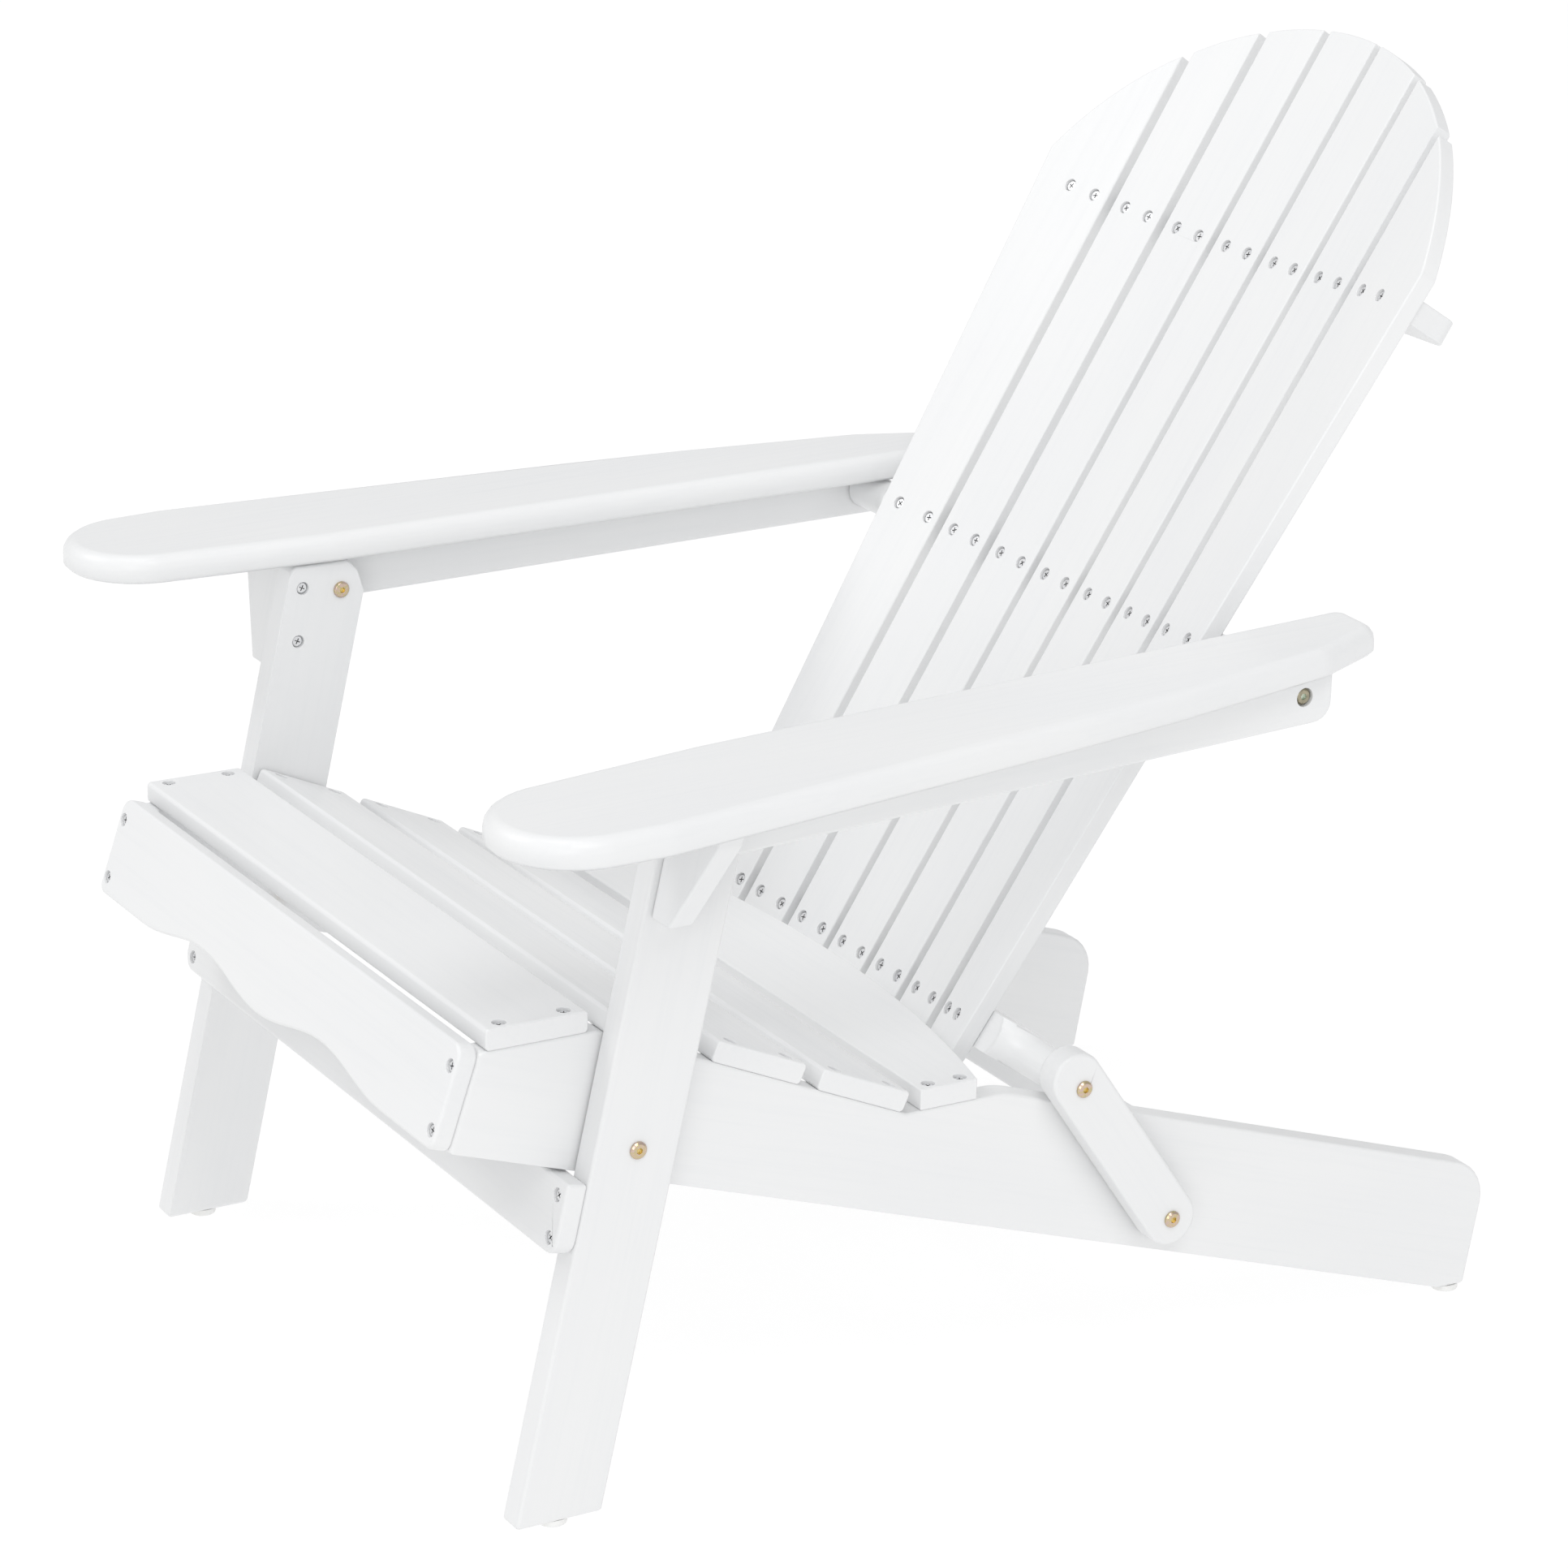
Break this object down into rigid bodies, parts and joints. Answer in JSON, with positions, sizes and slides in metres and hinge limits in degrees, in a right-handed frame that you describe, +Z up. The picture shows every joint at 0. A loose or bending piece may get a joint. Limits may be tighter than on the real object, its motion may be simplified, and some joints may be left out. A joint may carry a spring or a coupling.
{
  "type": "folding adirondack chair",
  "caption": "Folding adirondack garden chair with a fanned slatted back, broad sloping arms, a dished slatted seat and a scalloped front apron.",
  "frame": {"origin": "on the floor, half way across the chair and half way between its front and rear extents, with the chair open", "axes": "+Z up, -Y to the front of the chair, +X to the sitter's left"},
  "size_m": [0.778, 0.8808, 0.8675],
  "materials": {
    "painted_wood": "semi-gloss white paint over fine grain",
    "zinc_steel": "bright zinc plating",
    "yellow_zinc_steel": "yellow passivated zinc plating",
    "glide_plastic": "smooth moulded nylon"
  },
  "bodies": {
    "seat": {"stringer_left": "painted_wood", "stringer_right": "painted_wood", "apron": "painted_wood", "seat_slat_1": "painted_wood", "seat_slat_2": "painted_wood", "seat_slat_3": "painted_wood", "seat_slat_4": "painted_wood", "seat_slat_5": "painted_wood", "rear_stretcher": "painted_wood", "rear_glides": "glide_plastic", "seat_slat_screws": "zinc_steel", "apron_screws": "zinc_steel", "stretcher_screws": "zinc_steel", "leg_pivot_bolts": "yellow_zinc_steel", "leg_pivot_nuts": "yellow_zinc_steel", "link_foot_bolts": "yellow_zinc_steel", "link_foot_nuts": "yellow_zinc_steel", "pivot_washers": "zinc_steel"},
    "legs": {"leg_left": "painted_wood", "leg_right": "painted_wood", "leg_crossbar": "painted_wood", "bracket_left": "painted_wood", "bracket_right": "painted_wood", "front_glides": "glide_plastic", "crossbar_screws": "zinc_steel", "bracket_screws": "zinc_steel", "arm_pivot_bolts": "yellow_zinc_steel", "arm_pivot_spacers": "zinc_steel"},
    "links": {"link_left": "painted_wood", "link_right": "painted_wood", "link_top_bolts": "yellow_zinc_steel"},
    "back": {"back_slat_1": "painted_wood", "back_slat_2": "painted_wood", "back_slat_3": "painted_wood", "back_slat_4": "painted_wood", "back_slat_5": "painted_wood", "back_slat_6": "painted_wood", "back_slat_7": "painted_wood", "upper_batten": "painted_wood", "middle_bar": "painted_wood", "lower_bar": "painted_wood", "upper_row_screws": "zinc_steel", "middle_row_screws": "zinc_steel", "lower_row_screws": "zinc_steel"},
    "arms": {"arm_left": "painted_wood", "arm_right": "painted_wood", "arm_rail_left": "painted_wood", "arm_rail_right": "painted_wood", "arm_screws": "zinc_steel", "back_pivot_bolts": "yellow_zinc_steel"}
  },
  "joints": [
    {"name": "leg_fold", "type": "hinge", "parent": "seat", "child": "legs", "pos_m": [0, -0.30443, 0.2562], "axis": [1, 0, 0], "range_deg": [0, 87]},
    {"name": "link_swing", "type": "hinge", "parent": "seat", "child": "links", "pos_m": [0, 0.11627, 0.1212], "axis": [1, 0, 0], "range_deg": [-75, 0]},
    {"name": "back_swing", "type": "hinge", "parent": "links", "child": "back", "pos_m": [0, 0.03867, 0.2325], "axis": [1, 0, 0], "range_deg": [0, 172]},
    {"name": "arm_swing", "type": "hinge", "parent": "back", "child": "arms", "pos_m": [0, 0.19797, 0.4892], "axis": [1, 0, 0], "range_deg": [-96, 0]}
  ],
  "couplings": [
    {"joint": "link_swing", "follows": "leg_fold", "ratio": -0.8593},
    {"joint": "back_swing", "follows": "leg_fold", "ratio": 1.9743},
    {"joint": "arm_swing", "follows": "leg_fold", "ratio": -1.1028}
  ]
}
